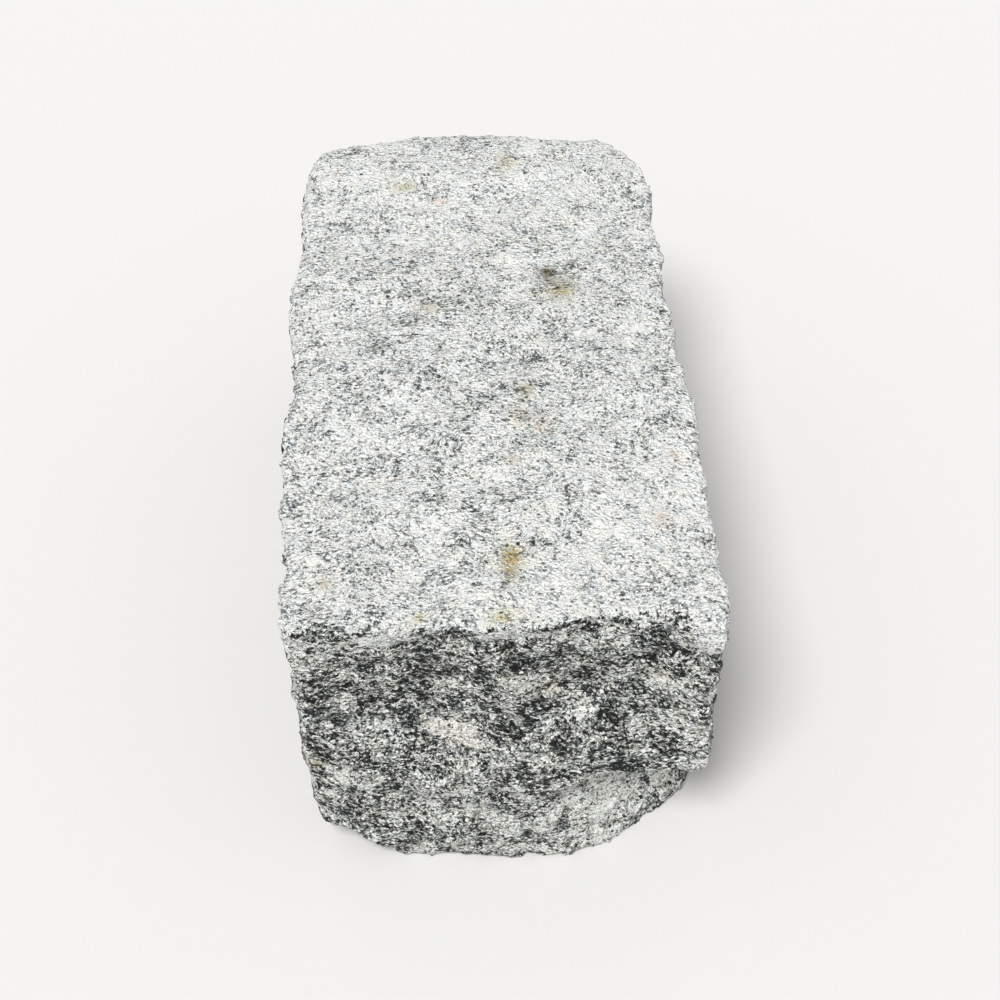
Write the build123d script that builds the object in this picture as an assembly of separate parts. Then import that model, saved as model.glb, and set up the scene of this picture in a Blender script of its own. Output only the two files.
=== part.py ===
from build123d import *
import math
import os
import random

os.makedirs("parts", exist_ok=True)

# A hammer-dressed granite paving block, in mm: X across the width, Y along the length with
# the split end at the front (-Y), Z up from the flat bed to the crowned head.

# Overall sizes.
block_length = 250.0
block_width = 130.0
arris_height = 104.0

# The head rises from its arrises to the middle and dips a little along its length.
head_crown = 2.0
head_wave = 0.7
head_tilt = 0.8

# How far each side leans in between the head and the bed, at its two ends, and how far
# its middle swells out again.
left_batter_front = 11.0
left_batter_back = 3.0
left_swell = 3.0
right_batter_front = 2.2
right_batter_back = 4.0
right_swell = 2.5
back_batter_left = 4.5
back_batter_right = 6.0
back_swell = 2.0
front_batter_left = 2.5
front_batter_right = 1.0
front_swell = 3.8

# How far the split end is hollowed between its arris and its toe.
front_hollow = 4.0

# The share of the arris scallops that is left at each level, from the bed up.
bed_relief = 0.35
toe_relief = 0.45
waist_relief = 0.6

# The edge of the bed turns under by this much below the toe.
bed_turn_under = 1.4
toe_level = 0.13
waist_level = 0.55

# Points of the arris round the head. Along the left and right sides each is (share of the
# length from the front, setback from the widest line, bow out to the next point).
left_points = [
    (0.028, 3.2, 1.6),
    (0.160, 4.2, 1.4),
    (0.268, 1.6, 2.2),
    (0.446, 2.4, -0.3),
    (0.624, -0.6, 0.4),
    (0.726, 4.2, 3.2),
    (0.955, 6.8, 1.2),
]
right_points = [
    (0.908, 5.4, 1.8),
    (0.772, 4.3, 1.6),
    (0.603, 4.0, 1.4),
    (0.481, 2.4, 1.8),
    (0.288, -0.3, 1.2),
    (0.109, 0.2, 2.2),
    (0.006, 1.2, 0.4),
]
# Across the back and the front: (share of the width from the left, setback, bow).
back_points = [
    (0.097, 7.2, -0.6),
    (0.296, 1.6, 1.5),
    (0.533, 2.8, 1.5),
    (0.750, 3.6, 0.4),
    (0.863, 9.6, 0.5),
]
front_points = [
    (0.860, 3.0, 0.6),
    (0.564, 3.2, 0.5),
    (0.420, 4.5, 1.0),
    (0.212, 3.0, 1.2),
]

# Shell-shaped hollows struck out of the front arris: (share of the width from the left,
# radius, depth into the end at the arris, height of the deepest point below the arris).
front_hollows = [
    (0.755, 60.0, 8.0, 0.0),
    (0.370, 20.0, 4.6, 1.0),
    (0.060, 20.0, 5.0, 2.0),
]

# Small flakes off the long arrises: (side, share of the length, radius, bite at 45 degrees).
arris_flakes = [
    (-1, 0.330, 24.0, 1.2),
    (-1, 0.520, 26.0, 1.2),
    (1, 0.850, 24.0, 1.4),
    (1, 0.420, 22.0, 1.2),
]

# The corner broken off low on the right of the front end: how far the break reaches across
# and along the bed, how far past the faces it starts so that it runs out gently, the heights
# of its deepest line and of the lip above it, how much deeper it goes there than at the bed
# and how far out the lip comes again, how far its lower face swells out of its chord, and how
# the lip climbs to the right side.
break_across = 53.0
break_along = 34.0
break_run_out = 3.0
break_valley = 29.0
break_lip = 37.0
break_undercut = 9.0
break_overhang = 6.0
break_bow_bed = 6.5
break_bow_valley = 3.0
break_climb = 0.08

# Splitting leaves broad shell-shaped flakes all over the four sides: how far apart they lie,
# how far each spreads from its middle, how deep it goes, how far their middles keep from the
# edges of a side, how far a middle strays, as a share of the spacing, and how squarely the
# side has to face out there, as a cosine: its rounded corners keep their own form.
flake_spacing = 42.0
flake_spread_least = 14.0
flake_spread_most = 20.0
flake_depth_least = 1.3
flake_depth_most = 2.8
flake_margin = 13.0
flake_stray = 0.24
flake_squareness = 0.93

# The flakes of the front end keep further from its edges, and so do those of the long sides
# from the front end, so that they don't bite into the drawn outline of that end.
front_margin = 27.0

# Chips off the corners of the bed: (side, end, reach across, reach along, reach up, radius).
bed_chips = [
    (-1, -1, 58.0, 27.0, 25.0, 110.0),
    (-1, 1, 20.0, 26.0, 14.0, 70.0),
    (1, 1, 16.0, 18.0, 22.0, 60.0),
]

half_length = block_length / 2
half_width = block_width / 2


def batter(share, first, last, swell):
    """Lean of a side at a share of its run, with its middle swollen out."""
    return first + (last - first) * share - swell * math.sin(math.pi * share)


def outline(height, relief, lean, turn_under, end_hollow):
    """Closed outline of the block at one height, as a chain of shallow arcs."""
    stations = []
    for share, setback, bow in left_points:
        inward = setback * relief + turn_under
        inward += lean * batter(share, left_batter_front, left_batter_back, left_swell)
        stations.append((-half_width + inward, -half_length + share * block_length, bow))
    for share, setback, bow in back_points:
        inward = setback * relief + turn_under
        inward += lean * batter(share, back_batter_left, back_batter_right, back_swell)
        stations.append((-half_width + share * block_width, half_length - inward, bow))
    for share, setback, bow in right_points:
        inward = setback * relief + turn_under
        inward += lean * batter(share, right_batter_front, right_batter_back, right_swell)
        stations.append((half_width - inward, -half_length + share * block_length, bow))
    for share, setback, bow in front_points:
        inward = setback * relief + turn_under + end_hollow
        inward += lean * batter(share, front_batter_left, front_batter_right, front_swell)
        stations.append((-half_width + share * block_width, -half_length + inward, bow))
    arcs = []
    for start, end in zip(stations, stations[1:] + stations[:1]):
        run = Vector(end[0] - start[0], end[1] - start[1])
        outward = Vector(-run.Y, run.X).normalized()
        middle = Vector(start[0], start[1]) + run * 0.5 + outward * start[2] * relief
        arcs.append(
            ThreePointArc(
                (start[0], start[1], height),
                (middle.X, middle.Y, height),
                (end[0], end[1], height),
            )
        )
    return Face(Wire(arcs))


def head_height(across, along):
    """Height of the head at shares of the half width and half length."""
    crown = head_crown * (1 - across**2) * (1 - along**4)
    wave = head_wave * math.cos(2.4 * math.pi * along) * (0.6 + 0.4 * across)
    return arris_height + crown + wave + head_tilt * across


def hollow(centre, radius):
    """A ball that strikes out one shell-shaped hollow."""
    return Pos(*centre) * Sphere(radius)


def split_flakes(skin, facing, first, last, low, high, seed):
    """Balls that strike flakes out of one side, in staggered rows between two heights.

    Each row runs from first to last, anticlockwise round the block as seen from above.
    """
    balls = []
    rows = max(1, round((high - low) / flake_spacing)) + 1
    columns = max(1, round((last - first) / flake_spacing)) + 1
    row_step = (high - low) / (rows - 1)
    column_step = (last - first) / (columns - 1)
    forward = Vector(-facing.Y, facing.X)
    for row in range(rows):
        stagger = 0.5 * (row % 2)
        for column in range(columns - row % 2):
            chance = random.Random(f"{seed} {row} {column}")
            stray = flake_stray * flake_spacing
            along = first + (column + stagger) * column_step + chance.uniform(-stray, stray)
            height = low + row * row_step + chance.uniform(-stray, stray)
            line = Axis(tuple(forward * along + Vector(0, 0, height)), tuple(facing))
            met = skin.find_intersection_points(line)
            if not met or met[-1][1].dot(facing) < flake_squareness:
                continue
            place = met[-1][0]
            spread = chance.uniform(flake_spread_least, flake_spread_most)
            depth = chance.uniform(flake_depth_least, flake_depth_most)
            radius = (spread**2 + depth**2) / (2 * depth)
            balls.append(hollow(tuple(place + facing * (radius - depth)), radius))
    return balls


def break_profile(height, deeper, bow, climb):
    """Outline of the broken corner near one height, from the end face to the right side."""
    margin = 40.0
    start = (half_width - break_across - deeper, -half_length - break_run_out)
    finish = (half_width + break_run_out, -half_length + break_along + deeper)
    chord = Vector(finish[0] - start[0], finish[1] - start[1])
    outward = Vector(chord.Y, -chord.X).normalized()
    middle = Vector(*start) + chord * 0.5 + outward * bow

    def raised(across, along):
        return (across, along, height + climb * (across - start[0]))

    curve = ThreePointArc(raised(*start), raised(middle.X, middle.Y), raised(*finish))
    rim = Polyline(
        raised(*finish),
        raised(finish[0] + margin, finish[1]),
        raised(finish[0] + margin, start[1] - margin),
        raised(start[0], start[1] - margin),
        raised(*start),
    )
    return Face(Wire([curve] + rim.edges()))


def chip(side, end, across, along, up, radius):
    """A ball that shaves a corner of the bed to the three reaches along its edges."""
    slope = Vector(1 / across, 1 / along, 1 / up)
    bite = 1 / slope.length
    away = Vector(side * slope.X, end * slope.Y, -slope.Z).normalized()
    corner = Vector(side * half_width, end * half_length, 0)
    return hollow(tuple(corner + away * (radius - bite)), radius)


# The sides: one smooth skin from the bed to just above the head.
sides = loft(
    [
        outline(0, bed_relief, 1.0, bed_turn_under, 0),
        outline(toe_level * arris_height, toe_relief, 0.85, 0, 0),
        outline(waist_level * arris_height, waist_relief, 0.55, 0, front_hollow),
        outline(1.08 * arris_height, 1.0, 0, 0, 0),
    ]
)

# The head: everything above its crowned surface is cut away.
grid = [-1.2, -0.8, -0.4, 0.0, 0.4, 0.8, 1.2]
head = Face.make_surface_from_array_of_points(
    [
        [
            (across * half_width, along * half_length, head_height(across, along))
            for across in grid
        ]
        for along in grid
    ]
)
block = sides - extrude(head, amount=arris_height, dir=(0, 0, 1))

# The flakes of the left, right, back and front sides: the way each faces, where its rows
# start and end, and how high the lowest lies.
skin = sides.shell()
flaked_sides = [
    (Vector(-1, 0, 0), flake_margin - half_length, half_length - front_margin, flake_margin),
    (Vector(1, 0, 0), front_margin - half_length, half_length - flake_margin, flake_margin),
    (Vector(0, 1, 0), flake_margin - half_width, half_width - flake_margin, flake_margin),
    (Vector(0, -1, 0), front_margin - half_width, half_width - front_margin, front_margin),
]
for number, (facing, first, last, low) in enumerate(flaked_sides):
    block -= split_flakes(skin, facing, first, last, low, arris_height - front_margin, number)

# Hollows of the front arris, each deepest at its height below the head.
for share, radius, depth, below in front_hollows:
    centre = (
        -half_width + share * block_width,
        -half_length + depth - radius,
        arris_height - below,
    )
    block -= hollow(centre, radius)

# Flakes off the long arrises, each biting in square to the corner.
for side, share, radius, bite in arris_flakes:
    reach = (radius - bite) * math.sqrt(0.5)
    centre = (
        side * (half_width + reach),
        -half_length + share * block_length,
        arris_height + reach,
    )
    block -= hollow(centre, radius)

# The broken corner: its face leans in from the bed to the valley, and the lip hangs over it.
block -= loft(
    [
        break_profile(0, 0, break_bow_bed, 0),
        break_profile(break_valley, break_undercut, break_bow_valley, break_climb),
        break_profile(break_lip, -break_overhang, break_bow_valley, break_climb),
    ],
    ruled=True,
)

# The chips of the bed.
for side, end, across, along, up, radius in bed_chips:
    block -= chip(side, end, across, along, up, radius)

# Origin: the middle of the underside.
box = block.bounding_box()
block = Pos(-(box.min.X + box.max.X) / 2, -(box.min.Y + box.max.Y) / 2, -box.min.Z) * block
export_step(block, "parts/granite_block.step")
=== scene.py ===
"""Looks of a hammer-dressed granite paving block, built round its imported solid."""

import logging
import math
from dataclasses import dataclass
from enum import Enum
from typing import Any, Mapping, Sequence

import bmesh
import bpy
from mathutils import Matrix, Vector, noise


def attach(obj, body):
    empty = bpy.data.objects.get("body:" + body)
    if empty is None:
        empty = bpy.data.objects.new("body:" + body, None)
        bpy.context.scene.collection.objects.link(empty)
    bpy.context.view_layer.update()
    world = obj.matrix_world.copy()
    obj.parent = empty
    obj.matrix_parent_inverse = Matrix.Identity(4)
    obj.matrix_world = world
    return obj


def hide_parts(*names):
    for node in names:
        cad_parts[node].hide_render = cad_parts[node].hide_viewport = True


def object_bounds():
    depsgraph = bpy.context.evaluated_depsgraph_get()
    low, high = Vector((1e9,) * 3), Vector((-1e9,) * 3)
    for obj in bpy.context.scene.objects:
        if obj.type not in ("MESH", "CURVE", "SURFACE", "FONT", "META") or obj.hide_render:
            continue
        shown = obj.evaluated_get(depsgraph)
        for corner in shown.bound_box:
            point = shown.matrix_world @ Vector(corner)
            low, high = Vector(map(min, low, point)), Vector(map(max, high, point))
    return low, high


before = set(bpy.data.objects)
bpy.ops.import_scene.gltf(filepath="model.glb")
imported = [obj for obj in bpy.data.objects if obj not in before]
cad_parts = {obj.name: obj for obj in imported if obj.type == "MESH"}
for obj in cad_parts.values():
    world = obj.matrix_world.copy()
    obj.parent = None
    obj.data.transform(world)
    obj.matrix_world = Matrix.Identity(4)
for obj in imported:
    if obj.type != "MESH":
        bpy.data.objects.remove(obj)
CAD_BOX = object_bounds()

LOG = logging.getLogger("granite_block")
MM = 0.001
NOISE_SEED = 7
WHITE = (1.0, 1.0, 1.0, 1.0)
NOISE_MEAN = 0.5
NEARLY_NONE = 1e-6
# How squarely a face has to look a side's way, to start to count as that side and to count fully.
SIDE_FACING = (0.1, 0.6)


def linear(code: str) -> tuple[float, float, float, float]:
    """Turn an sRGB hex code into a linear colour.

    Args:
        code: six hex digits after a hash sign.

    Returns:
        Red, green, blue and an alpha of 1.
    """
    values = [int(code[i : i + 2], 16) / 255 for i in (1, 3, 5)]
    red, green, blue = [
        v / 12.92 if v <= 0.04045 else ((v + 0.055) / 1.055) ** 2.4 for v in values
    ]
    return red, green, blue, 1.0


def add(
    tree: bpy.types.NodeTree,
    kind: str,
    settings: Mapping[str, Any] | None = None,
    inputs: Mapping[Any, Any] | None = None,
    stops: Sequence[tuple[float, Any]] = (),
) -> bpy.types.Node:
    """Add one shader node with its settings, values and links.

    Args:
        tree: the node tree that takes the node.
        kind: the node's type name.
        settings: properties of the node itself.
        inputs: values or output sockets, by input name or number.
        stops: position and linear colour of each stop, where the node has a colour ramp.

    Returns:
        The new node.
    """
    node = tree.nodes.new(kind)
    for name, value in (settings or {}).items():
        setattr(node, name, value)
    for name, value in (inputs or {}).items():
        if isinstance(value, bpy.types.NodeSocket):
            tree.links.new(value, node.inputs[name])
        else:
            node.inputs[name].default_value = value
    for index, (position, colour) in enumerate(stops):
        if index > 1:
            node.color_ramp.elements.new(position)
        node.color_ramp.elements[index].position = position
        node.color_ramp.elements[index].color = colour
    return node


def smooth(grid: bmesh.types.BMesh, passes: int) -> None:
    """Soften a mesh by moving each vertex half way to its neighbours, a number of times.

    Args:
        grid: the mesh.
        passes: how many times.
    """
    for _ in range(passes):
        bmesh.ops.smooth_vert(
            grid, verts=grid.verts, factor=0.5, use_axis_x=True, use_axis_y=True, use_axis_z=True
        )


def smooth_step(low: float, high: float, value: float) -> float:
    """Ease from 0 at low to 1 at high."""
    share = min(max((value - low) / (high - low), 0.0), 1.0)
    return share * share * (3 - 2 * share)


@dataclass(frozen=True)
class Lumps:
    """Rounded lumps and hollows of one size, in mm, laid out the same on each run."""

    size: tuple[float, float, float]
    start: tuple[float, float, float] = (0.0, 0.0, 0.0)

    def height(self, at: Vector) -> float:
        """Height at a point in mm, from about -1 to 1."""
        cells = Vector([along / size for along, size in zip(at, self.size)])
        return noise.noise(cells + Vector(self.start))


@dataclass(frozen=True)
class Flakes:
    """Small planes of one size, in mm, each tilted its own way and at its own height."""

    size: tuple[float, float, float]
    tilt: float = 1.6
    # Far apart in the noise, so that planes side by side differ.
    slope_stride: float = 3.7
    level_stride: float = 2.3

    def height(self, at: Vector) -> float:
        """Height of the planes at a point.

        Args:
            at: the point, in mm.

        Returns:
            A height from -1 to 1.
        """
        cells = Vector([along / size for along, size in zip(at, self.size)])
        seed = noise.voronoi(cells)[1][0]
        slope = noise.noise_vector(seed * self.slope_stride)
        level = noise.noise(seed * self.level_stride)
        return max(-1.0, min(1.0, self.tilt * (cells - seed).dot(slope) + level))


class Side(Enum):
    """Side of the block that a spot lies on, by the direction it faces."""

    HEAD = (0.0, 0.0, 1.0)
    FRONT = (0.0, -1.0, 0.0)


@dataclass(frozen=True)
class Spot:
    """A rounded patch on one side, fading out round its middle.

    Place and reach are in mm: across the width, then along the length on the head or up
    on the front.
    """

    side: Side
    place: tuple[float, float]
    reach: tuple[float, float]

    def share(self, at: Vector, normal: Vector) -> float:
        """How strongly the spot shows at a point.

        Args:
            at: the point, in mm.
            normal: outward direction there.

        Returns:
            A share from 0 to 1.
        """
        facing = smooth_step(*SIDE_FACING, normal.dot(Vector(self.side.value)))
        if facing == 0:
            return 0.0
        second = at.y if self.side is Side.HEAD else at.z
        across = (at.x - self.place[0]) / self.reach[0]
        other = (second - self.place[1]) / self.reach[1]
        return facing * math.exp(-(across**2 + other**2))


@dataclass(frozen=True)
class Stain(Spot):
    """A weathered or rusty spot that tints the crystals, by up to its strength."""

    colour: str
    strength: float


@dataclass(frozen=True)
class TonePatch(Spot):
    """A patch with more black mica, or below 0 more white feldspar; on the front some are painted shade
    or painted light.
    """

    mica: float


@dataclass(frozen=True)
class BiotiteGranite:
    """Grey biotite granite, split with wedges and dressed on the head with a hammer.

    Split faces show fresh crystals: white and grey feldspar, glassy quartz and black mica
    flakes drawn out into thin wavy bands. Their tones are also darker as painted shade of the
    small shadows in their rough relief. The hammer bruises the crystals of the head, so
    that it is paler, with fewer dark flakes.
    """

    name: str = "biotite_granite_split_and_hammer_dressed"
    # Sizes of what the eye can tell apart, across, along and up. Grains under about half a
    # millimetre would not show, so none is drawn finer than that.
    crystal_mm: tuple[float, float, float] = (1.2, 1.1, 1.0)
    grains_in_crystal: float = 2.1
    flake_mm: tuple[float, float, float] = (2.3, 1.5, 1.1)
    nodule_mm: tuple[float, float, float] = (1.7, 1.5, 1.3)
    # Bands of mica, which dip to one side and wander by a few mm over 30 to 50 mm.
    band_mm: float = 9.0
    dip_degrees: float = 13.0
    wander_mm: float = 38.0
    wander_by_mm: tuple[float, float, float] = (8.0, 12.0, 12.0)
    # Crystal edges are ragged by 0.3 mm or so.
    rags_per_mm: float = 1.1
    ragged_by_mm: tuple[float, float, float] = (0.5, 0.5, 0.5)
    # Bruising takes whole grains, the palest first, and dark ones hold out longest.
    bruise_gain: float = 3.0
    grain_hold: float = 2.0
    # Tone, from the crystal, its grains and the band that it lies in.
    crystal_tone: float = 0.4
    grain_tone: float = 0.48
    band_tone: float = 0.9
    band_tone_lost: float = 0.2
    base_tone: float = 0.17
    # Fresh tones, partly darkened as painted shade of the small shadows in the split faces' relief.
    split_tones: tuple[tuple[float, str], ...] = (
        (0.28, "#1F2426"),
        (0.42, "#525858"),
        (0.54, "#868A87"),
        (0.65, "#BCBEB9"),
        (0.75, "#E8E9E3"),
        (0.84, "#FDFDF8"),
    )
    bruised_tones: tuple[tuple[float, str], ...] = (
        (0.20, "#666E6F"),
        (0.33, "#969D9D"),
        (0.45, "#C8CDCB"),
        (0.54, "#EEF0EC"),
        (0.65, "#FFFFFC"),
    )
    # Black mica, in clots and in wisps.
    mica: str = "#060709"
    mica_of_cluster: float = 0.15
    mica_of_band: float = 0.8
    mica_spare: float = 0.05
    mica_crushed: float = 0.12
    clot_most: float = 0.06
    clot_spread: float = 0.6
    clot_sharpness: float = 7.0
    wisp_patches: float = 0.9
    wisp_spread: float = 1.3
    wisp_thinness: float = 0.53
    wisp_sharpness: float = 9.0
    cover: float = 0.95
    cover_lost: float = 0.15
    # Feldspar is milky or creamy, and quartz a little blue, a few crystals at a time.
    tint_mm: float = 5.0
    cool: tuple[float, str] = (0.38, "#FAFDFF")
    warm: tuple[float, str] = (0.64, "#FFFDFA")
    # Stains take hold of some crystals more than others.
    stain_least: float = 0.35
    stain_spread: float = 1.3
    # Split crystals stand up in small steps, which catch the light one by one.
    relief_mm: float = 1.3
    grit_patches: float = 0.9
    grain_step: float = 0.35
    crystal_step: float = 0.25
    nodule_step: float = 1.2
    roughness: float = 0.8
    ior: float = 1.54
    specular: float = 0.2

    def fabric(self, tree: bpy.types.NodeTree) -> bpy.types.NodeSocket:
        """Object coordinates in mm, waved like the bands and ragged like crystal edges.

        Args:
            tree: the node tree.

        Returns:
            The coordinates' socket.
        """
        tilted = add(
            tree,
            "ShaderNodeMapping",
            {"vector_type": "POINT"},
            {
                "Vector": add(tree, "ShaderNodeTexCoord").outputs["Object"],
                "Rotation": (0.0, -math.radians(self.dip_degrees), 0.0),
                "Scale": (1 / MM,) * 3,
            },
        ).outputs[0]
        moved = tilted
        for scale, detail, roughness, reach in (
            (1 / self.wander_mm, 2.0, 0.5, self.wander_by_mm),
            (self.rags_per_mm, 3.0, 0.6, self.ragged_by_mm),
        ):
            shift = add(
                tree,
                "ShaderNodeTexNoise",
                inputs={"Vector": tilted, "Scale": scale, "Detail": detail, "Roughness": roughness},
            ).outputs["Color"]
            shift = add(
                tree, "ShaderNodeVectorMath", {"operation": "SUBTRACT"}, {0: shift, 1: (NOISE_MEAN,) * 3}
            ).outputs[0]
            moved = add(
                tree,
                "ShaderNodeVectorMath",
                {"operation": "MULTIPLY_ADD"},
                {0: shift, 1: reach, 2: moved},
            ).outputs[0]
        return moved

    def picked(
        self, tree: bpy.types.NodeTree, grid: bpy.types.NodeSocket, scale: float
    ) -> bpy.types.NodeSocket:
        """A chance value of its own for each crystal or grain.

        Args:
            tree: the node tree.
            grid: coordinates in crystals.
            scale: how many lie across one crystal.

        Returns:
            The value's socket, from 0 to 1.
        """
        cell = add(tree, "ShaderNodeTexVoronoi", inputs={"Vector": grid, "Scale": scale})
        return add(tree, "ShaderNodeSeparateColor", inputs={0: cell.outputs["Color"]}).outputs[0]

    def bruised(
        self, tree: bpy.types.NodeTree, grain: bpy.types.NodeSocket
    ) -> bpy.types.NodeSocket:
        """Where the stone is bruised: whole grains, up to a ragged edge.

        Args:
            tree: the node tree.
            grain: chance value of each grain.

        Returns:
            The mask's socket, from 0 to 1.
        """
        dressed = add(tree, "ShaderNodeAttribute", {"attribute_name": "dressed"}).outputs["Fac"]
        dressed = add(
            tree,
            "ShaderNodeMath",
            {"operation": "MULTIPLY_ADD"},
            {0: dressed, 1: self.bruise_gain, 2: -self.grain_hold},
        ).outputs[0]
        return add(
            tree,
            "ShaderNodeMath",
            {"operation": "MULTIPLY_ADD", "use_clamp": True},
            {0: grain, 1: self.grain_hold, 2: dressed},
        ).outputs[0]

    def bands(
        self,
        tree: bpy.types.NodeTree,
        grid: bpy.types.NodeSocket,
        dressed: bpy.types.NodeSocket,
    ) -> bpy.types.NodeSocket:
        """How pale the band at a point is, with the hammered skin hiding some of it.

        Args:
            tree: the node tree.
            grid: coordinates in crystals.
            dressed: mask of the bruised crystals.

        Returns:
            The tone's socket, from about -0.5 to 0.5.
        """
        # This attribute holds the mica patches and, on the front, painted shade and painted light.
        mica_and_painted_shading = add(tree, "ShaderNodeAttribute", {"attribute_name": "mica"}).outputs["Fac"]
        scale = self.crystal_mm[0] / self.band_mm
        band = add(
            tree,
            "ShaderNodeTexNoise",
            inputs={"Vector": grid, "Scale": scale, "Detail": 3.0, "Roughness": 0.68},
        ).outputs[0]
        band = add(
            tree,
            "ShaderNodeMath",
            {"operation": "MULTIPLY_ADD"},
            {0: mica_and_painted_shading, 1: -self.mica_of_cluster, 2: band},
        ).outputs[0]
        band = add(
            tree, "ShaderNodeMath", {"operation": "SUBTRACT"}, {0: band, 1: NOISE_MEAN}
        ).outputs[0]
        shown = add(
            tree,
            "ShaderNodeMath",
            {"operation": "MULTIPLY_ADD"},
            {0: dressed, 1: -self.band_tone_lost, 2: self.band_tone},
        ).outputs[0]
        return add(
            tree, "ShaderNodeMath", {"operation": "MULTIPLY"}, {0: band, 1: shown}
        ).outputs[0]

    def pale_stone(
        self,
        tree: bpy.types.NodeTree,
        crystal: bpy.types.NodeSocket,
        grain: bpy.types.NodeSocket,
        bands: bpy.types.NodeSocket,
        dressed: bpy.types.NodeSocket,
    ) -> bpy.types.NodeSocket:
        """Colour of the feldspar and quartz, fresh on split faces and bruised on the head.

        Args:
            tree: the node tree.
            crystal: chance value of each crystal.
            grain: chance value of each grain.
            bands: tone of the bands.
            dressed: mask of the bruised crystals.

        Returns:
            The colour's socket.
        """
        tone = add(
            tree,
            "ShaderNodeMath",
            {"operation": "MULTIPLY_ADD"},
            {0: grain, 1: self.grain_tone, 2: bands},
        ).outputs[0]
        tone = add(
            tree,
            "ShaderNodeMath",
            {"operation": "MULTIPLY_ADD"},
            {0: crystal, 1: self.crystal_tone, 2: tone},
        ).outputs[0]
        tone = add(
            tree, "ShaderNodeMath", {"operation": "ADD"}, {0: tone, 1: self.base_tone}
        ).outputs[0]
        split, struck = [
            add(
                tree,
                "ShaderNodeValToRGB",
                inputs={0: tone},
                stops=[(at, linear(colour)) for at, colour in tones],
            ).outputs[0]
            for tones in (self.split_tones, self.bruised_tones)
        ]
        return add(
            tree, "ShaderNodeMix", {"data_type": "RGBA"}, {"Factor": dressed, 6: split, 7: struck}
        ).outputs[2]

    def clots(
        self,
        tree: bpy.types.NodeTree,
        grid: bpy.types.NodeSocket,
        plenty: bpy.types.NodeSocket,
    ) -> bpy.types.NodeSocket:
        """Mask of the clots of black mica.

        Args:
            tree: the node tree.
            grid: coordinates in flakes.
            plenty: how much mica there is, as a radius in flakes.

        Returns:
            The mask's socket, from 0 to 1.
        """
        plenty = add(
            tree, "ShaderNodeMath", {"operation": "MINIMUM"}, {0: plenty, 1: self.clot_most}
        ).outputs[0]
        cell = add(tree, "ShaderNodeTexVoronoi", inputs={"Vector": grid, "Scale": 1.0})
        chance = add(tree, "ShaderNodeSeparateColor", inputs={0: cell.outputs["Color"]}).outputs[1]
        radius = add(
            tree,
            "ShaderNodeMath",
            {"operation": "MULTIPLY_ADD"},
            {0: chance, 1: self.clot_spread, 2: plenty},
        ).outputs[0]
        inside = add(
            tree, "ShaderNodeMath", {"operation": "SUBTRACT"}, {0: radius, 1: cell.outputs["Distance"]}
        ).outputs[0]
        return add(
            tree,
            "ShaderNodeMath",
            {"operation": "MULTIPLY", "use_clamp": True},
            {0: inside, 1: self.clot_sharpness},
        ).outputs[0]

    def wisps(
        self,
        tree: bpy.types.NodeTree,
        nodules: bpy.types.NodeSocket,
        edge: bpy.types.NodeSocket,
        plenty: bpy.types.NodeSocket,
    ) -> bpy.types.NodeSocket:
        """Mask of the thin mica wisps that follow the joints between the pale nodules.

        Args:
            tree: the node tree.
            nodules: coordinates in nodules.
            edge: distance to the nearest joint, in nodules.
            plenty: how much mica there is.

        Returns:
            The mask's socket, from 0 to 1.
        """
        plenty = add(
            tree, "ShaderNodeMath", {"operation": "SUBTRACT"}, {0: plenty, 1: self.wisp_thinness}
        ).outputs[0]
        patchy = add(
            tree,
            "ShaderNodeTexNoise",
            inputs={"Vector": nodules, "Scale": self.wisp_patches, "Detail": 2.0, "Roughness": 0.6},
        ).outputs[0]
        width = add(
            tree,
            "ShaderNodeMath",
            {"operation": "MULTIPLY_ADD"},
            {0: patchy, 1: self.wisp_spread, 2: plenty},
        ).outputs[0]
        inside = add(tree, "ShaderNodeMath", {"operation": "SUBTRACT"}, {0: width, 1: edge}).outputs[0]
        return add(
            tree,
            "ShaderNodeMath",
            {"operation": "MULTIPLY", "use_clamp": True},
            {0: inside, 1: self.wisp_sharpness},
        ).outputs[0]

    def with_mica(
        self,
        tree: bpy.types.NodeTree,
        stone: bpy.types.NodeSocket,
        flakes: bpy.types.NodeSocket,
        dressed: bpy.types.NodeSocket,
    ) -> bpy.types.NodeSocket:
        """Lay the black mica over the pale stone, a little crushed where it is bruised.

        Args:
            tree: the node tree.
            stone: colour of the pale stone.
            flakes: mask of the mica.
            dressed: mask of the bruised crystals.

        Returns:
            The colour's socket.
        """
        cover = add(
            tree,
            "ShaderNodeMath",
            {"operation": "MULTIPLY_ADD"},
            {0: dressed, 1: -self.cover_lost, 2: self.cover},
        ).outputs[0]
        cover = add(tree, "ShaderNodeMath", {"operation": "MULTIPLY"}, {0: cover, 1: flakes}).outputs[0]
        return add(
            tree,
            "ShaderNodeMix",
            {"data_type": "RGBA"},
            {"Factor": cover, 6: stone, 7: linear(self.mica)},
        ).outputs[2]

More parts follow.
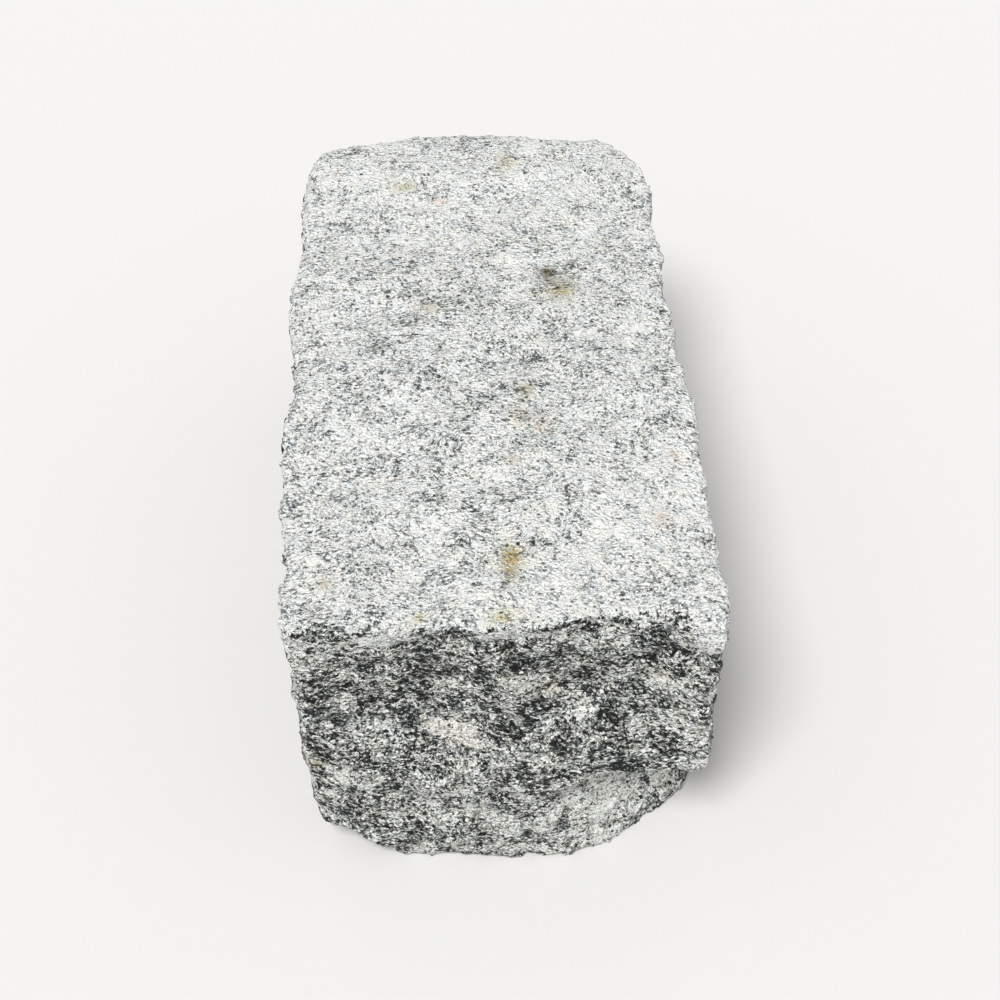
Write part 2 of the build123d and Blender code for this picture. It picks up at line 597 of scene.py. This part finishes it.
    def tinted(
        self,
        tree: bpy.types.NodeTree,
        stone: bpy.types.NodeSocket,
        ragged: bpy.types.NodeSocket,
        crystal: bpy.types.NodeSocket,
    ) -> bpy.types.NodeSocket:
        """Tint the stone with its cool and warm crystals and with the stains.

        Args:
            tree: the node tree.
            stone: colour of the stone.
            ragged: ragged coordinates in mm.
            crystal: chance value of each crystal.

        Returns:
            The colour's socket.
        """
        hue = add(
            tree,
            "ShaderNodeTexNoise",
            inputs={"Vector": ragged, "Scale": 1 / self.tint_mm, "Detail": 2.0, "Roughness": 0.6},
        ).outputs[0]
        hue = add(
            tree,
            "ShaderNodeValToRGB",
            inputs={0: hue},
            stops=[(at, linear(colour)) for at, colour in (self.cool, self.warm)],
        ).outputs[0]
        stain = add(tree, "ShaderNodeAttribute", {"attribute_name": "stain"})
        hold = add(
            tree,
            "ShaderNodeMath",
            {"operation": "MULTIPLY_ADD"},
            {0: crystal, 1: self.stain_spread, 2: self.stain_least},
        ).outputs[0]
        hold = add(
            tree,
            "ShaderNodeMath",
            {"operation": "MULTIPLY", "use_clamp": True},
            {0: hold, 1: stain.outputs["Alpha"]},
        ).outputs[0]
        for share, colour in ((1.0, hue), (hold, stain.outputs["Color"])):
            stone = add(
                tree,
                "ShaderNodeMix",
                {"data_type": "RGBA", "blend_type": "MULTIPLY"},
                {"Factor": share, 6: stone, 7: colour},
            ).outputs[2]
        return stone

    def steps(
        self,
        tree: bpy.types.NodeTree,
        grid: bpy.types.NodeSocket,
        crystal: bpy.types.NodeSocket,
        grain: bpy.types.NodeSocket,
        edge: bpy.types.NodeSocket,
    ) -> bpy.types.NodeSocket:
        """Bump of the crystals, grains and nodules.

        Args:
            tree: the node tree.
            grid: coordinates in crystals.
            crystal: chance value of each crystal.
            grain: chance value of each grain.
            edge: distance to the nearest joint between nodules.

        Returns:
            The normal's socket.
        """
        grit = add(
            tree,
            "ShaderNodeTexNoise",
            inputs={"Vector": grid, "Scale": self.grit_patches, "Detail": 3.0, "Roughness": 0.6},
        ).outputs[0]
        for source, step in (
            (grain, self.grain_step),
            (crystal, self.crystal_step),
            (edge, self.nodule_step),
        ):
            grit = add(
                tree, "ShaderNodeMath", {"operation": "MULTIPLY_ADD"}, {0: source, 1: step, 2: grit}
            ).outputs[0]
        return add(
            tree,
            "ShaderNodeBump",
            inputs={"Strength": 1.0, "Distance": self.relief_mm * MM, "Height": grit},
        ).outputs[0]

    def build(self) -> bpy.types.Material:
        """Build the material.

        Returns:
            The new material.
        """
        material = bpy.data.materials.new(self.name)
        material.use_nodes = True
        tree = material.node_tree
        tree.nodes.clear()
        ragged = self.fabric(tree)
        # Coordinates that count crystals, flakes and nodules instead of mm.
        grid, flakes, nodules = [
            add(
                tree,
                "ShaderNodeMapping",
                {"vector_type": "POINT"},
                {"Vector": ragged, "Scale": tuple(1 / size for size in size_mm)},
            ).outputs[0]
            for size_mm in (self.crystal_mm, self.flake_mm, self.nodule_mm)
        ]
        crystal = self.picked(tree, grid, 1.0)
        grain = self.picked(tree, grid, self.grains_in_crystal)
        dressed = self.bruised(tree, grain)
        bands = self.bands(tree, grid, dressed)
        stone = self.pale_stone(tree, crystal, grain, bands, dressed)
        # Mica gathers in the darker bands, and less of it is left in the hammered skin.
        plenty = add(
            tree,
            "ShaderNodeMath",
            {"operation": "MULTIPLY_ADD"},
            {0: bands, 1: -self.mica_of_band, 2: -self.mica_spare},
        ).outputs[0]
        plenty = add(
            tree,
            "ShaderNodeMath",
            {"operation": "MULTIPLY_ADD"},
            {0: dressed, 1: -self.mica_crushed, 2: plenty},
        ).outputs[0]
        edge = add(
            tree,
            "ShaderNodeTexVoronoi",
            {"feature": "DISTANCE_TO_EDGE"},
            {"Vector": nodules, "Scale": 1.0},
        ).outputs["Distance"]
        clots = self.clots(tree, flakes, plenty)
        wisps = self.wisps(tree, nodules, edge, plenty)
        black = add(
            tree, "ShaderNodeMath", {"operation": "MAXIMUM"}, {0: clots, 1: wisps}
        ).outputs[0]
        stone = self.with_mica(tree, stone, black, dressed)
        shader = add(
            tree,
            "ShaderNodeBsdfPrincipled",
            inputs={
                "Base Color": self.tinted(tree, stone, ragged, crystal),
                "Roughness": self.roughness,
                "IOR": self.ior,
                "Specular IOR Level": self.specular,
                "Normal": self.steps(tree, grid, crystal, grain, edge),
            },
        )
        add(tree, "ShaderNodeOutputMaterial", inputs={"Surface": shader.outputs[0]})
        return material


@dataclass(frozen=True)
class MattFloorPaint:
    """Off-white matt paint, rolled on: an even pale ground with no gloss."""

    name: str = "floor_matt_paint"
    colour: str = "#DCDBD9"
    roughness: float = 0.9

    def build(self) -> bpy.types.Material:
        """Build the material.

        Returns:
            The new material.
        """
        material = bpy.data.materials.new(self.name)
        material.use_nodes = True
        shader = material.node_tree.nodes["Principled BSDF"]
        shader.inputs["Base Color"].default_value = linear(self.colour)
        shader.inputs["Roughness"].default_value = self.roughness
        return material


@dataclass(frozen=True)
class Crushing:
    """Where the crystals are crushed pale: on the head, at an arris, or by a stray blow.

    Each range eases from no crushing to full, and each rag is how far its edge wanders, in
    the range's own unit.
    """

    coarse: Lumps = Lumps((6.0, 6.0, 3.5))
    fine: Lumps = Lumps((2.5, 2.5, 1.8))
    fine_share: float = 0.6
    head_facing: tuple[float, float] = (0.3, 0.6)
    head_rag: float = 0.3
    arris_mm: tuple[float, float] = (0.3, 1.0)
    arris_rag: float = 0.4
    # The brow is the upper edge of the sides, all round but for the front. It rises and sags
    # along the block, the same at every height.
    brow_mm: tuple[float, float] = (97.0, 103.0)
    brow_rag: float = 4.0
    brow_sag: Lumps = Lumps((22.0, 22.0, math.inf), (0.0, 0.0, 3.0))
    brow_sag_mm: float = 6.0
    brow_turn: tuple[float, float] = (0.2, 0.6)
    spot_share: tuple[float, float] = (0.35, 0.65)
    bruise_rag: float = 0.4
    chip_rag: float = 0.3
    most_off_head: float = 0.9

    def share(
        self,
        at: Vector,
        normal: Vector,
        edge: float,
        bruises: Sequence[Spot],
        chips: Sequence[Spot],
    ) -> float:
        """How far the crystals are crushed at a point.

        Args:
            at: the point, in mm.
            normal: outward direction there.
            edge: how far the point stands out of a softened copy of the block, in mm.
            bruises: patches that a blow has crushed.
            chips: patches that have broken off since and show fresh crystals.

        Returns:
            A share from 0 to 1.
        """
        uneven = self.coarse.height(at)
        uneven += self.fine_share * self.fine.height(at)
        head = smooth_step(*self.head_facing, normal.z + self.head_rag * uneven)
        arris = smooth_step(*self.arris_mm, edge + self.arris_rag * uneven)
        sag = self.brow_sag_mm * self.brow_sag.height(at)
        brow = smooth_step(*self.brow_mm, at.z + self.brow_rag * uneven + sag)
        brow *= smooth_step(*self.brow_turn, 1 + normal.y)
        blow = max([spot.share(at, normal) for spot in bruises], default=0.0)
        blow = smooth_step(*self.spot_share, blow + self.bruise_rag * uneven)
        chip = max([spot.share(at, normal) for spot in chips], default=0.0)
        chip = smooth_step(*self.spot_share, chip + self.chip_rag * uneven)
        most = self.most_off_head
        return max(head, most * arris, most * brow, most * blow) * (1 - chip)


@dataclass(frozen=True)
class Relief:
    """Fine relief of the skin, mostly under the solid's own face, with heights in mm."""

    # Which way a face is turned, for it to count as part of the head or of the bed.
    head_facing: tuple[float, float] = (0.45, 0.85)
    bed_facing: tuple[float, float] = (0.55, 0.9)
    # Ledges, flakes and crystals stand out of split faces.
    ledges: Lumps = Lumps((26.0, 26.0, 11.0))
    flakes: Flakes = Flakes((9.5, 9.5, 6.5))
    crystals: Lumps = Lumps((3.4, 3.0, 2.6))
    crumbs: Lumps = Lumps((1.8, 1.8, 1.8), (7.0, 3.0, 5.0))
    ledge_mm: float = 0.8
    ledge_rise: float = 0.25
    flake_mm: float = 1.2
    crystal_mm: float = 0.7
    crumb_mm: float = 0.45
    # The hammer leaves low swells and small pecks.
    swells: Lumps = Lumps((17.0, 15.0, 15.0), (2.0, 9.0, 4.0))
    pecks: Lumps = Lumps((5.2, 4.2, 4.2), (5.0, 1.0, 8.0))
    swell_mm: float = 0.7
    swell_drop: float = 0.2
    peck_mm: float = 0.4
    hammered_crystal_mm: float = 0.25
    hammered_crumb_mm: float = 0.25
    # The bed is worn back from its plane, with pecks and crystals of its own.
    bed_drop_mm: float = 0.4
    bed_peck_mm: float = 0.5
    bed_crystal_mm: float = 0.3

    def height(self, at: Vector, normal: Vector) -> float:
        """How far the skin moves out at a point.

        Args:
            at: the point, in mm.
            normal: outward direction there.

        Returns:
            A height in mm.
        """
        head = smooth_step(*self.head_facing, normal.z)
        bed = smooth_step(*self.bed_facing, -normal.z)
        side = 1 - head - bed
        crystal = self.crystals.height(at)
        crumb = self.crumbs.height(at)
        peck = self.pecks.height(at)
        split = self.ledge_mm * (self.ledges.height(at) + self.ledge_rise)
        split += self.flake_mm * self.flakes.height(at)
        split += self.crystal_mm * crystal + self.crumb_mm * crumb
        dressed = self.swell_mm * (self.swells.height(at) - self.swell_drop) + self.peck_mm * peck
        dressed = dressed + self.hammered_crystal_mm * crystal + self.hammered_crumb_mm * crumb
        rest = -self.bed_drop_mm + self.bed_peck_mm * peck + self.bed_crystal_mm * crystal
        return side * split + head * dressed + bed * rest


@dataclass
class PavingBlock:
    """The block's stone skin, from the solid of its CAD node."""

    node: str = "granite_block"
    merge_mm: float = 0.001
    voxel_mm: float = 1.3
    arris_passes: int = 3
    rim_passes: int = 16
    crushing: Crushing = Crushing()
    relief: Relief = Relief()
    finish: BiotiteGranite = BiotiteGranite()
    stains: Sequence[Stain] = ()
    clusters_with_painted_shading: Sequence[TonePatch] = ()
    bruises: Sequence[Spot] = ()
    chips: Sequence[Spot] = ()

    def solid_copy(self) -> bpy.types.Mesh:
        """Copy the node's mesh, merged, and make it again in even small faces.

        Returns:
            The new mesh.
        """
        grid = bmesh.new()
        grid.from_mesh(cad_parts[self.node].data)
        bmesh.ops.remove_doubles(grid, verts=grid.verts, dist=self.merge_mm * MM)
        mesh = bpy.data.meshes.new("merged_copy")
        grid.to_mesh(mesh)
        grid.free()
        holder = bpy.data.objects.new("merged_copy", mesh)
        bpy.context.scene.collection.objects.link(holder)
        remesh = holder.modifiers.new("even_faces", "REMESH")
        remesh.mode = "VOXEL"
        remesh.voxel_size = self.voxel_mm * MM
        depsgraph = bpy.context.evaluated_depsgraph_get()
        even = bpy.data.meshes.new_from_object(holder.evaluated_get(depsgraph))
        bpy.data.objects.remove(holder)
        bpy.data.meshes.remove(mesh)
        return even

    def roughen(self, grid: bmesh.types.BMesh) -> None:
        """Round the arrises, crush them, and strike the relief, inside the CAD box.

        Args:
            grid: the even copy of the solid.
        """
        smooth(grid, self.arris_passes)
        grid.normal_update()
        worn = grid.copy()
        smooth(worn, self.rim_passes)
        dressed = grid.verts.layers.float.new("dressed")
        moves = []
        for vert, softer in zip(grid.verts, worn.verts):
            at = vert.co / MM
            edge = (vert.co - softer.co).dot(vert.normal) / MM
            vert[dressed] = self.crushing.share(at, vert.normal, edge, self.bruises, self.chips)
            moves.append(vert.normal * self.relief.height(at, vert.normal) * MM)
        worn.free()
        low, high = CAD_BOX
        for vert, move in zip(grid.verts, moves):
            vert.co += move
            for axis in range(3):
                vert.co[axis] = min(max(vert.co[axis], low[axis]), high[axis])

    def paint(self, grid: bmesh.types.BMesh) -> None:
        """Write where the mica gathers, with the painted shade and light of the front, and where the
        stains are.

        Args:
            grid: the finished shape.
        """
        mica = grid.verts.layers.float.new("mica")
        stain = grid.verts.layers.float_color.new("stain")
        colours = [Vector(linear(spot.colour)[:3]) for spot in self.stains]
        for vert in grid.verts:
            at = vert.co / MM
            # The mica layer also carries the front's painted shade and painted light.
            vert[mica] = sum(spot.mica * spot.share(at, vert.normal) for spot in self.clusters_with_painted_shading)
            shares = [spot.strength * spot.share(at, vert.normal) for spot in self.stains]
            total = max(sum(shares), NEARLY_NONE)
            mixed = sum((c * w for c, w in zip(colours, shares)), Vector((0, 0, 0))) / total
            vert[stain] = (*mixed, min(1.0, total))

    def build(self) -> bpy.types.Object:
        """Build and dress the block, and put it in the place of its CAD node.

        Returns:
            The block's object.
        """
        mesh = self.solid_copy()
        grid = bmesh.new()
        grid.from_mesh(mesh)
        self.roughen(grid)
        grid.normal_update()
        self.paint(grid)
        bmesh.ops.triangulate(grid, faces=grid.faces)
        for face in grid.faces:
            face.smooth = True
        skin = bpy.data.meshes.new("granite_skin")
        grid.to_mesh(skin)
        grid.free()
        bpy.data.meshes.remove(mesh)
        skin.materials.clear()
        skin.materials.append(self.finish.build())
        block = bpy.data.objects.new("granite_block_skin", skin)
        bpy.context.scene.collection.objects.link(block)
        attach(block, "root")
        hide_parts(self.node)
        return block


# Rusty, creamy and pinkish spots: side, place, reach, colour and strength.
STAINS = (
    Stain(Side.HEAD, (21.8, 38.7), (3.0, 2.6), "#6B5A3A", 0.9),
    Stain(Side.HEAD, (25.5, 29.5), (6.0, 6.5), "#C8BC98", 0.75),
    Stain(Side.HEAD, (4.4, -92.7), (3.2, 4.8), "#D6C084", 0.9),
    Stain(Side.HEAD, (3.9, -99.7), (1.8, 2.8), "#B0A074", 0.8),
    Stain(Side.HEAD, (-26.4, 91.6), (4.2, 2.6), "#D6C79C", 0.6),
    Stain(Side.HEAD, (10.4, 104.6), (3.2, 5.5), "#D6CBA8", 0.6),
    Stain(Side.HEAD, (-14.7, 82.8), (1.8, 1.6), "#E2C4A8", 0.6),
    Stain(Side.HEAD, (-18.3, 20.8), (4.0, 3.5), "#D3C6A4", 0.5),
    Stain(Side.HEAD, (11.3, -21.8), (3.0, 3.2), "#B4A684", 0.65),
    Stain(Side.HEAD, (9.2, -33.6), (3.6, 3.6), "#DACDB0", 0.5),
    Stain(Side.HEAD, (15.9, -36.4), (4.4, 4.0), "#F0DDD0", 0.5),
    Stain(Side.HEAD, (55.2, -50.9), (2.0, 2.2), "#EACFBC", 0.5),
    Stain(Side.HEAD, (48.7, -79.0), (3.4, 4.5), "#F6E6D8", 0.6),
    Stain(Side.HEAD, (5.7, -52.1), (2.2, 2.8), "#D6BCA6", 0.5),
    Stain(Side.HEAD, (-48.8, -100.3), (2.8, 2.6), "#D2BCA4", 0.5),
    Stain(Side.HEAD, (1.6, -115.4), (4.0, 2.6), "#EADBA6", 0.6),
    Stain(Side.HEAD, (-21.8, -114.4), (2.0, 2.0), "#E6D8A4", 0.6),
    Stain(Side.FRONT, (-13.2, 55.4), (7.5, 4.6), "#F4EAE4", 0.5),
    Stain(Side.FRONT, (15.4, 74.1), (5.5, 3.0), "#EEDFD6", 0.5),
    Stain(Side.FRONT, (46.5, 81.3), (5.0, 2.4), "#EEE3DB", 0.5),
    Stain(Side.FRONT, (-55.6, 44.3), (3.0, 3.0), "#E6DEBC", 0.6),
)

# Darker patches, and paler ones below 0: side, place, reach and share of mica. Those on the front are
# partly painted shade and painted light as well as mica and feldspar.
CLUSTERS_WITH_PAINTED_SHADING = (
    TonePatch(Side.HEAD, (23.0, 35.1), (6.0, 6.0), 0.7),
    TonePatch(Side.HEAD, (-11.3, 21.8), (11.0, 7.0), 0.8),
    TonePatch(Side.HEAD, (8.9, -11.8), (16.0, 10.0), 0.4),
    TonePatch(Side.HEAD, (-32.0, -14.0), (11.0, 9.0), 0.5),
    TonePatch(Side.HEAD, (-10.0, -46.0), (9.0, 16.0), 0.7),
    TonePatch(Side.HEAD, (34.0, 92.0), (26.0, 24.0), -0.6),
    TonePatch(Side.HEAD, (-12.0, 72.0), (24.0, 24.0), -0.4),
    TonePatch(Side.HEAD, (-36.0, 104.0), (24.0, 18.0), -0.6),
    TonePatch(Side.HEAD, (60.0, -60.0), (10.0, 9.0), -1.3),
    TonePatch(Side.HEAD, (36.0, -84.0), (12.0, 8.0), -1.1),
    TonePatch(Side.HEAD, (20.0, -97.0), (11.0, 7.0), -1.1),
    TonePatch(Side.HEAD, (50.0, -73.0), (12.0, 9.0), -1.2),
    TonePatch(Side.HEAD, (20.2, -113.2), (28.0, 5.0), -0.6),
    TonePatch(Side.FRONT, (-47.3, 103.0), (9.0, 3.5), 0.5),
    TonePatch(Side.FRONT, (-44.4, 72.6), (8.0, 7.0), 0.5),
    TonePatch(Side.FRONT, (-28.3, 73.5), (5.0, 7.0), 0.4),
    TonePatch(Side.FRONT, (-12.0, 85.8), (14.0, 6.0), 0.5),
    TonePatch(Side.FRONT, (2.1, 64.3), (6.0, 11.0), 0.6),
    TonePatch(Side.FRONT, (14.3, 91.5), (7.0, 6.0), 0.6),
    TonePatch(Side.FRONT, (24.7, 75.0), (12.0, 4.5), 0.6),
    TonePatch(Side.FRONT, (48.6, 93.3), (8.0, 8.0), 0.6),
    TonePatch(Side.FRONT, (30.3, 61.0), (9.0, 7.0), 0.6),
    # Painted shadow: a dark line under the lip of the spall ledge on the lower right front.
    TonePatch(Side.FRONT, (33.0, 41.5), (17.0, 3.5), 0.7),
    TonePatch(Side.FRONT, (-30.0, 42.8), (10.0, 5.0), 0.1),
    TonePatch(Side.FRONT, (-29.9, 13.7), (16.0, 5.0), 0.5),
    TonePatch(Side.FRONT, (-51.0, 91.0), (10.0, 6.0), -0.8),
    TonePatch(Side.FRONT, (-33.3, 61.1), (6.0, 7.0), -0.5),
    TonePatch(Side.FRONT, (-13.0, 56.0), (8.5, 5.5), -1.7),
    TonePatch(Side.FRONT, (-5.6, 51.8), (5.0, 3.0), -1.0),
    TonePatch(Side.FRONT, (7.2, 75.6), (11.0, 3.2), -0.7),
    TonePatch(Side.FRONT, (22.3, 95.0), (8.0, 5.0), -0.4),
    TonePatch(Side.FRONT, (43.7, 80.6), (9.0, 3.5), -0.8),
    TonePatch(Side.FRONT, (25.4, 65.4), (6.0, 5.0), -0.5),
    TonePatch(Side.FRONT, (41.4, 59.3), (9.0, 5.5), -0.8),
    TonePatch(Side.FRONT, (58.8, 65.0), (6.0, 17.0), -0.35),
    TonePatch(Side.FRONT, (-44.0, 38.0), (10.0, 10.0), -0.6),
    TonePatch(Side.FRONT, (-12.0, 35.1), (8.0, 7.0), -0.5),
    # Painted light: the upturned facet of the spalled lower right corner made paler.
    TonePatch(Side.FRONT, (32.7, 12.5), (26.0, 16.0), -0.9),
    TonePatch(Side.FRONT, (2.9, 16.0), (11.0, 8.0), -0.2),
    # Painted light: the whole lower front made paler.
    TonePatch(Side.FRONT, (-5.0, 20.0), (42.0, 20.0), -0.35),
)

# Blows of the hammer that ran over the front arris.
BRUISES = (
    Spot(Side.FRONT, (-58.0, 97.5), (6.0, 7.0)),
    Spot(Side.FRONT, (-30.0, 99.5), (11.0, 5.0)),
    Spot(Side.FRONT, (2.0, 100.5), (10.0, 4.0)),
    Spot(Side.FRONT, (14.2, 100.9), (8.0, 3.0)),
    Spot(Side.FRONT, (59.5, 101.0), (6.0, 8.0)),
)

# Fresh chips off the front arris.
CHIPS = (
    Spot(Side.HEAD, (-49.0, -118.5), (9.0, 4.5)),
    Spot(Side.HEAD, (42.0, -119.5), (12.0, 4.2)),
)


@dataclass
class Studio:
    """Pale floor, soft light and the camera at the photograph's angle, in m and degrees."""

    floor_size: float = 24.0
    floor_finish: MattFloorPaint = MattFloorPaint()
    sky: float = 0.52
    backdrop: float = 0.93
    lamp_power: float = 2.8
    lamp_place: tuple[float, float, float] = (-0.66, -1.32, 2.5)
    lamp_aim: tuple[float, float, float] = (0.0, 0.0, 0.05)
    lamp_spread: float = 21.0
    camera_place: tuple[float, float, float] = (-0.011085, -0.44631, 0.48248)
    pitch: float = 45.0
    heading: float = 2.0
    lens_mm: float = 64.8
    sensor_mm: float = 36.0
    nearest_seen: float = 0.01

    def build_floor(self) -> bpy.types.Object:
        """Build the floor.

        Returns:
            The floor's object.
        """
        grid = bmesh.new()
        bmesh.ops.create_grid(grid, x_segments=1, y_segments=1, size=self.floor_size / 2)
        mesh = bpy.data.meshes.new("floor")
        grid.to_mesh(mesh)
        grid.free()
        mesh.materials.append(self.floor_finish.build())
        floor = bpy.data.objects.new("floor", mesh)
        bpy.context.scene.collection.objects.link(floor)
        return floor

    def build_sky(self) -> None:
        """Build the soft sky, and the backdrop that only the camera and reflections see."""
        world = bpy.data.worlds.new("studio")
        world.use_nodes = True
        tree = world.node_tree
        tree.nodes.clear()
        lit, seen = [
            add(tree, "ShaderNodeBackground", inputs={"Color": WHITE, "Strength": strength})
            for strength in (self.sky, self.backdrop)
        ]
        path = add(tree, "ShaderNodeLightPath").outputs
        ray = path["Is Camera Ray"]
        for other in ("Is Glossy Ray", "Is Transmission Ray"):
            ray = add(
                tree, "ShaderNodeMath", {"operation": "MAXIMUM"}, {0: ray, 1: path[other]}
            ).outputs[0]
        both = add(
            tree, "ShaderNodeMixShader", inputs={0: ray, 1: lit.outputs[0], 2: seen.outputs[0]}
        )
        add(tree, "ShaderNodeOutputWorld", inputs={"Surface": both.outputs[0]})
        bpy.context.scene.world = world

    def build_lamp(self) -> None:
        """Build the broad lamp above, in front and to the left."""
        data = bpy.data.lights.new("broad_lamp", "SUN")
        data.angle = math.radians(self.lamp_spread)
        data.energy = self.lamp_power
        lamp = bpy.data.objects.new("broad_lamp", data)
        place = Vector(self.lamp_place)
        turn = (Vector(self.lamp_aim) - place).to_track_quat("-Z", "Y").to_matrix().to_4x4()
        lamp.matrix_world = Matrix.Translation(place) @ turn
        bpy.context.scene.collection.objects.link(lamp)

    def build_camera(self) -> None:
        """Build the camera and make it the scene's."""
        data = bpy.data.cameras.new("camera")
        data.sensor_width = self.sensor_mm
        data.lens = self.lens_mm
        data.clip_start = self.nearest_seen
        camera = bpy.data.objects.new("camera", data)
        turn = Matrix.Rotation(-math.radians(self.heading), 4, "Z")
        tip = Matrix.Rotation(math.radians(90 - self.pitch), 4, "X")
        camera.matrix_world = Matrix.Translation(self.camera_place) @ turn @ tip
        bpy.context.scene.collection.objects.link(camera)
        bpy.context.scene.camera = camera


def main() -> None:
    """Build the studio and the block."""
    logging.basicConfig(level=logging.INFO)
    # Vector noise, which tilts the flakes, is drawn afresh on each run unless it is seeded.
    noise.seed_set(NOISE_SEED)
    bpy.context.scene.view_settings.view_transform = "Standard"
    studio = Studio()
    studio.build_floor()
    studio.build_sky()
    studio.build_lamp()
    studio.build_camera()
    stone = PavingBlock(stains=STAINS, clusters_with_painted_shading=CLUSTERS_WITH_PAINTED_SHADING, bruises=BRUISES, chips=CHIPS)
    block = stone.build()
    LOG.info("%s: %d triangles", block.name, len(block.data.polygons))


if __name__ == "__main__":
    main()
